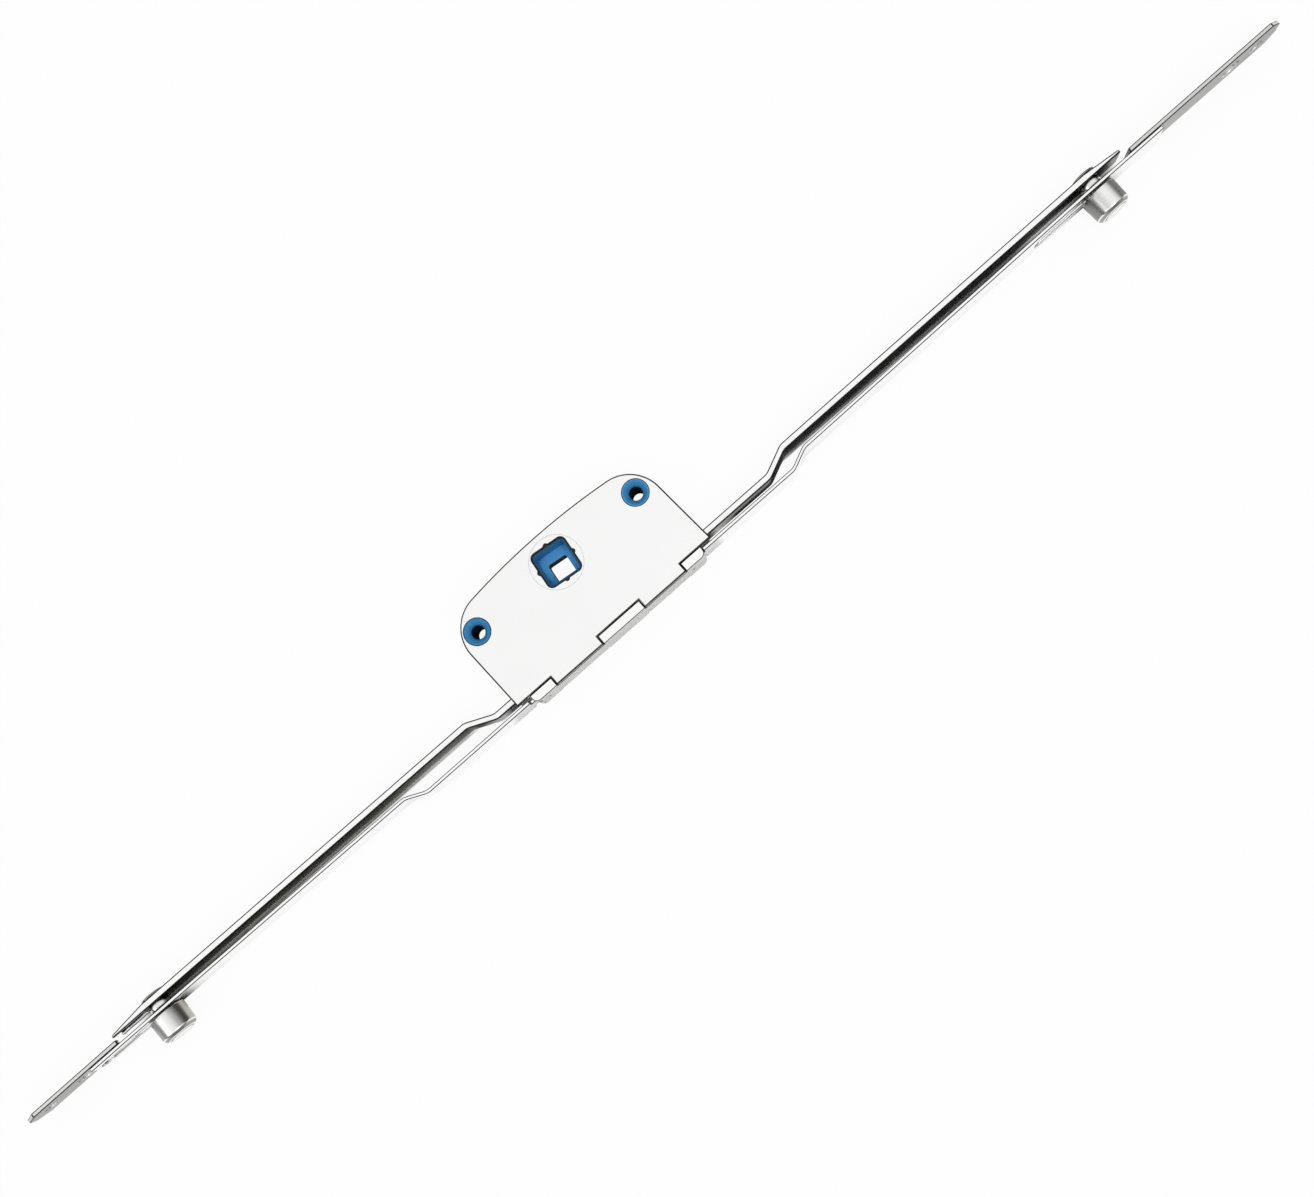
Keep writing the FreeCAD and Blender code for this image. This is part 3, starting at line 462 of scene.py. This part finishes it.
def dressed(node, material, edge_material, edge, steps=2, clamp=False, seam=None,
            front_material=None, lowest=-1.0, fine_holes=()):
    """A copy of a solid with its edges broken, which stands for the node."""
    source = frame["nodes"][node]
    mesh = bmesh.new()
    mesh.from_mesh(source.data)
    bmesh.ops.remove_doubles(mesh, verts=mesh.verts, dist=SAME_SPOT)
    bmesh.ops.dissolve_limit(mesh, angle_limit=FLAT_WITHIN, verts=mesh.verts, edges=mesh.edges)
    weight = mesh.edges.layers.float.new("bevel_weight_edge")
    for face in mesh.faces:
        face.smooth = True
        if front_material and face.calc_center_median().z > FRONT_LEVEL:
            face.material_index = FRONT_INDEX
    for line in mesh.edges:
        line[weight] = edge_weight(line, seam, lowest, fine_holes)
    data = bpy.data.meshes.new(node + "_dressed")
    mesh.to_mesh(data)
    mesh.free()
    piece = bpy.data.objects.new(node + "_dressed", data)
    scene.collection.objects.link(piece)
    bevel = piece.modifiers.new("broken_edge", "BEVEL")
    bevel.width = edge
    bevel.segments = steps
    bevel.limit_method = "WEIGHT"
    bevel.material = EDGE_INDEX
    bevel.use_clamp_overlap = clamp
    data.materials.append(material)
    data.materials.append(edge_material)
    if front_material:
        data.materials.append(front_material)
    shading = piece.modifiers.new("flat_faces", "WEIGHTED_NORMAL")
    shading.mode = "FACE_AREA"
    shading.weight = FLAT_WEIGHT
    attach(piece, source["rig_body"])
    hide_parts(node)


polished = steel(
    "polished_plate", bright=(0.94, 0.94, 0.937), painted_dark=(0.05, 0.05, 0.05), rough=0.16,
    reach=0.0004, power=1.4, grain=700.0, stretch=(0.15, 1.0, 1.0), bump=0.06)
# The bracket's faces that look out of the sash get a painted shade.
front_plate = steel(
    "front_plate", bright=(0.96, 0.96, 0.96), painted_dark=(0.05, 0.05, 0.05), rough=0.16,
    reach=0.0004, power=1.4, grain=700.0, stretch=(0.15, 1.0, 1.0), bump=0.06,
    shades=(((0.72, 0.71, 0.69), OUT_OF_SASH, SIDE_SLOPES),))
# Edges get a painted dark reflection, with painted light on the edges low on the piece.
edge_dark_reflection = edge_steel(
    "sheared_edge_dark_reflection", painted_dark=(0.05, 0.05, 0.045), worn=(0.11, 0.11, 0.1), lower=(0.8, 0.8, 0.8))
dressed("case_tray", polished, edge_dark_reflection, edge=0.0003)
dressed("case_cover", polished, edge_dark_reflection, edge=0.00034, seam=HUB_SEAM,
        fine_holes=BUSH_HOLES)
dressed("faceplate_bracket", front_plate, edge_dark_reflection, edge=0.00015)

# Rails and drive rod
# Thin plated strip, sheared and bent: bright on the edges that face up, with a painted dark
# reflection on the sheared line along them, and painted shade, dark or olive, on the faces where
# the rod and the rail lie close together.
INTO_SASH = (0.0, 1.0, 0.0)
LEFT_ARM_SPAN = (-0.13, 0.0)
# Colours of the painted shade on the faces that look into the gap, along the left arm.
GAP_SIDE_SHADES = (
    (0.0, (0.012, 0.012, 0.01)), (0.2, (0.028, 0.027, 0.02)), (0.4, (0.12, 0.115, 0.08)),
    (0.57, (0.17, 0.162, 0.115)), (0.67, (0.07, 0.067, 0.048)), (0.75, (0.008, 0.008, 0.007)))


def gap_side_shade_group():
    """The painted shade of the gap between rod and rail: near black, but olive along the left arm.
    """
    group, _, gives = new_group("gap_side_shade", {}, {"Tint": "Color"})
    along = range_of(group, place_of(group)["X"], *LEFT_ARM_SPAN)
    group.links.new(colour_ramp(group, along, GAP_SIDE_SHADES), gives["Tint"])
    return group


gap_side_shade = gap_side_shade_group()
rail_steel = steel(
    "rail_strip", bright=(0.95, 0.95, 0.95), painted_dark=(0.3, 0.3, 0.3), rough=0.14,
    reach=0.0006, power=1.0, grain=500.0, stretch=(0.1, 1.0, 1.0), bump=0.08,
    shades=((gap_side_shade, INTO_SASH, SIDE_SLOPES),))
rod_steel = steel(
    "rod_strip", bright=(0.95, 0.955, 0.95), painted_dark=(0.3, 0.3, 0.3), rough=0.14,
    reach=0.0006, power=1.0, grain=500.0, stretch=(0.1, 1.0, 1.0), bump=0.08,
    shades=((gap_side_shade, OUT_OF_SASH, SIDE_SLOPES),))
dressed("rail_left", rail_steel, edge_dark_reflection, edge=0.00018)
dressed("rail_right", rail_steel, edge_dark_reflection, edge=0.00018)
dressed("drive_rod", rod_steel, edge_dark_reflection, edge=0.00028)

# Rivets
# Two steel rivets hold the rails to the bracket, each with a low cone-shaped head inside. Two
# more hold the rack to the rod and are hammered flush at both ends.
RIVET_SIDES = 48
SOFT_EDGE = 0.00008
SOFT_FROM = math.radians(25.0)
QUARTER_TURN = math.radians(90.0)


def linked_node(tree, kind, sources):
    """A node with some of its inputs joined to their sources."""
    node = tree.nodes.new(kind)
    for title, source in sources.items():
        tree.links.new(source, node.inputs[title])
    return node


def rivet_tree():
    """A row of rivets that lie along -Y: shank and head at each point of a line."""
    tree = bpy.data.node_groups.new("rivet_row", "GeometryNodeTree")
    for title, kind in (("Count", "NodeSocketInt"), ("First", "NodeSocketVector"),
                        ("Step", "NodeSocketVector"), ("Shank Radius", "NodeSocketFloat"),
                        ("Shank Length", "NodeSocketFloat"), ("Head Radius", "NodeSocketFloat"),
                        ("Head Height", "NodeSocketFloat"), ("Finish", "NodeSocketMaterial")):
        tree.interface.new_socket(title, in_out="INPUT", socket_type=kind)
    tree.interface.new_socket("Rivets", in_out="OUTPUT", socket_type="NodeSocketGeometry")
    takes = tree.nodes.new("NodeGroupInput").outputs
    line = linked_node(tree, "GeometryNodeMeshLine", {
        "Count": takes["Count"], "Start Location": takes["First"], "Offset": takes["Step"]})
    shank = linked_node(tree, "GeometryNodeMeshCylinder", {
        "Radius": takes["Shank Radius"], "Depth": takes["Shank Length"]})
    shank.inputs["Vertices"].default_value = RIVET_SIDES
    half_way = linked_node(tree, "ShaderNodeCombineXYZ", {
        "Z": sum_of(tree, "MULTIPLY", takes["Shank Length"], 0.5)})
    shank_moved = linked_node(tree, "GeometryNodeTransform", {
        "Geometry": shank.outputs["Mesh"], "Translation": half_way.outputs[0]})
    head = linked_node(tree, "GeometryNodeMeshCone", {
        "Radius Bottom": sum_of(tree, "SUBTRACT", takes["Head Radius"], takes["Head Height"]),
        "Radius Top": takes["Head Radius"], "Depth": takes["Head Height"]})
    head.inputs["Vertices"].default_value = RIVET_SIDES
    both = tree.nodes.new("GeometryNodeJoinGeometry")
    tree.links.new(shank_moved.outputs[0], both.inputs[0])
    tree.links.new(head.outputs["Mesh"], both.inputs[0])
    laid = linked_node(tree, "GeometryNodeTransform", {"Geometry": both.outputs[0]})
    laid.inputs["Rotation"].default_value = (QUARTER_TURN, 0.0, 0.0)
    spread = linked_node(tree, "GeometryNodeInstanceOnPoints", {
        "Points": line.outputs["Mesh"], "Instance": laid.outputs[0]})
    real = tree.nodes.new("GeometryNodeRealizeInstances")
    tree.links.new(spread.outputs[0], real.inputs[0])
    coat = linked_node(tree, "GeometryNodeSetMaterial", {
        "Geometry": real.outputs[0], "Material": takes["Finish"]})
    result = tree.nodes.new("NodeGroupOutput")
    tree.links.new(coat.outputs[0], result.inputs["Rivets"])
    return tree


rivet_row_tree = rivet_tree()


def rivet_row(name, node, values):
    """A plain mesh of a row of rivets, which stands for the node."""
    maker = bpy.data.objects.new(name + "_maker", bpy.data.meshes.new(name + "_maker"))
    scene.collection.objects.link(maker)
    making = maker.modifiers.new("rivets", "NODES")
    making.node_group = rivet_row_tree
    for item in rivet_row_tree.interface.items_tree:
        if item.in_out == "INPUT" and item.name in values:
            making[item.identifier] = values[item.name]
    ready = maker.evaluated_get(bpy.context.evaluated_depsgraph_get())
    data = bpy.data.meshes.new_from_object(ready)
    data.name = name
    bpy.data.objects.remove(maker)
    piece = bpy.data.objects.new(name, data)
    scene.collection.objects.link(piece)
    soft = piece.modifiers.new("hammered_edge", "BEVEL")
    soft.width = SOFT_EDGE
    soft.segments = 2
    soft.limit_method = "ANGLE"
    soft.angle_limit = SOFT_FROM
    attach(piece, frame["nodes"][node]["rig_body"])
    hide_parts(node)


rivet_steel = steel(
    "rivet_steel", bright=(0.7, 0.7, 0.69), painted_dark=(0.08, 0.08, 0.075), rough=0.26,
    reach=0.001, power=1.2, grain=1300.0, stretch=(1.0, 0.3, 1.0), bump=0.4)
rivet_row("rail_rivet_row", "rail_rivets", {
    "Count": 2, "First": (-0.0203, -0.01738, 0.00475), "Step": (0.0418, 0.0, 0.0),
    "Shank Radius": 0.0012, "Shank Length": 0.00182, "Head Radius": 0.0019,
    "Head Height": 0.00035, "Finish": rivet_steel})
rivet_row("rack_rivet_row", "rack_rivets", {
    "Count": 2, "First": (-0.00407, -0.01128, 0.00475), "Step": (0.0214, 0.0, 0.0),
    "Shank Radius": 0.0011, "Shank Length": 0.00492, "Head Radius": 0.0011,
    "Head Height": 0.00005, "Finish": rivet_steel})

# End plates
# Punched from brushed strip; the grain runs along the lock, and the plates are duller than
# the rails they are welded to. Their faces that look out of the sash get a painted shade.
brushed = steel(
    "brushed_plate", bright=(0.66, 0.66, 0.655), painted_dark=(0.1, 0.1, 0.095), rough=0.3,
    reach=0.0006, power=1.2, grain=900.0, stretch=(0.04, 1.0, 1.0), bump=0.12,
    shades=(((0.25, 0.25, 0.24), OUT_OF_SASH, SIDE_SLOPES),))
dressed("end_plate_left", brushed, edge_dark_reflection, edge=0.00022)
dressed("end_plate_right", brushed, edge_dark_reflection, edge=0.00022)

# Gear train
# Hub and rack of machined steel with a film of oil. The hub's front face lies level with the
# cover and is polished with it, and its mouth has rounded edges with a painted dark reflection.
oiled = steel(
    "oiled_steel", bright=(0.55, 0.55, 0.54), painted_dark=(0.06, 0.06, 0.05), rough=0.28,
    reach=0.003, power=1.4, grain=1100.0, stretch=(1.0, 1.0, 0.2), bump=0.4)
dressed("rack", oiled, edge_dark_reflection, edge=0.0001)
dressed("toothed_sector", oiled, edge_dark_reflection, edge=0.0003, steps=3, seam=HUB_SEAM,
        front_material=polished, lowest=FRONT_LEVEL)

# Rollers and pins
# Turned steel sleeves with a chamfered end, each held on a riveted pin by its collar. They are
# satin, with a painted highlight as a broad light band between flanks of painted shade, a
# painted lighter line near the right side and painted shade on the end that looks out of the sash.
TOWARDS_LEFT = (-1.0, 0.0, 0.0)
TOWARDS_RIGHT = (1.0, 0.0, 0.0)
# Their sides and end get painted shade and painted light by the way each face looks.
turned = steel(
    "turned_steel", bright=(0.86, 0.86, 0.855), painted_dark=(0.07, 0.068, 0.06), rough=0.33,
    reach=0.004, power=1.2, grain=1500.0, stretch=(1.0, 0.1, 1.0), bump=0.25,
    shades=(((0.28, 0.28, 0.27), TOWARDS_LEFT, (0.15, 0.9)),
            ((0.13, 0.125, 0.11), TOWARDS_RIGHT, (0.1, 0.8)),
            ((0.5, 0.49, 0.44), TOWARDS_RIGHT, (0.88, 0.95)),
            ((0.35, 0.35, 0.34), OUT_OF_SASH, (0.3, 0.6))))
pin_finish = steel(
    "pin_steel", bright=(0.88, 0.88, 0.87), painted_dark=(0.1, 0.1, 0.095), rough=0.2,
    reach=0.001, power=1.0, grain=1300.0, stretch=(1.0, 0.3, 1.0), bump=0.2)
for side in ("left", "right"):
    dressed("roller_pin_" + side, pin_finish, edge_dark_reflection, edge=0.00015)
    dressed("roller_" + side, turned, pin_finish, edge=0.0002)

# Plastic parts
# Socket, screw bushes and glides are moulded in blue plastic with a soft sheen; surfaces that
# face up get painted light, and the walls of the holes get painted shade.
SOFT_SHEEN = 0.12
LEVEL_SLOPES = (0.1, 0.9)
UPWARDS = (0.0, 0.0, 1.0)
OPEN_FROM = 0.05
RIM_HEIGHTS = (0.0045, 0.006)
LEDGE_HEIGHTS = (0.003, 0.0037)
PLASTIC_ROUGHNESS_SPREAD = (0.85, 1.2)
# Painted shade deep in the holes.
DEEP_HOLE_SHADE = (0.002, 0.006, 0.014)
MOULDED_EDGE = 0.00015


def moulded(name, light, wall, rough, open_at, rim=None):
    """Moulded plastic with painted light on level faces and painted shade on walls, in deep holes
    and on a hidden rim.
    """
    material, tree, surface, wear_and_shade = finish_parts(
        name, reach=0.0035, power=1.3, grain=1400.0, stretch=(1.0, 1.0, 1.0), bump=0.3)
    opened = range_of(tree, wear_and_shade["Open"], OPEN_FROM, open_at)
    top = light
    if rim:
        height = place_of(tree)["Z"]
        top = colour_mix(tree, range_of(tree, height, *RIM_HEIGHTS), light, rim)
        opened = sum_of(tree, "MULTIPLY", opened, range_of(tree, height, *LEDGE_HEIGHTS))
    facing = shaded_side(tree, wall, top, UPWARDS, LEVEL_SLOPES)
    tree.links.new(colour_mix(tree, opened, DEEP_HOLE_SHADE, facing), surface["Base Color"])
    least, most = (rough * share for share in PLASTIC_ROUGHNESS_SPREAD)
    tree.links.new(range_of(tree, wear_and_shade["Smudge"], 0.0, 1.0, least, most), surface["Roughness"])
    surface["Specular IOR Level"].default_value = SOFT_SHEEN
    return material


blue = moulded("blue_plastic", light=(0.07, 0.33, 0.66), wall=(0.012, 0.09, 0.22), rough=0.42,
               open_at=0.85)
blue_rim = moulded("blue_rim", light=(0.05, 0.2, 0.4), wall=(0.01, 0.06, 0.16), rough=0.35,
                   open_at=0.34)
blue_socket = moulded("blue_socket", light=(0.11, 0.44, 0.82), wall=(0.04, 0.22, 0.46), rough=0.42,
                      open_at=0.3, rim=(0.02, 0.08, 0.16))
for node in ("screw_bush_left", "screw_bush_right", "rod_glide_left", "rod_glide_right"):
    dressed(node, blue, blue_rim, edge=MOULDED_EDGE, clamp=True)
dressed("spindle_socket", blue_socket, blue_socket, edge=MOULDED_EDGE, clamp=True)
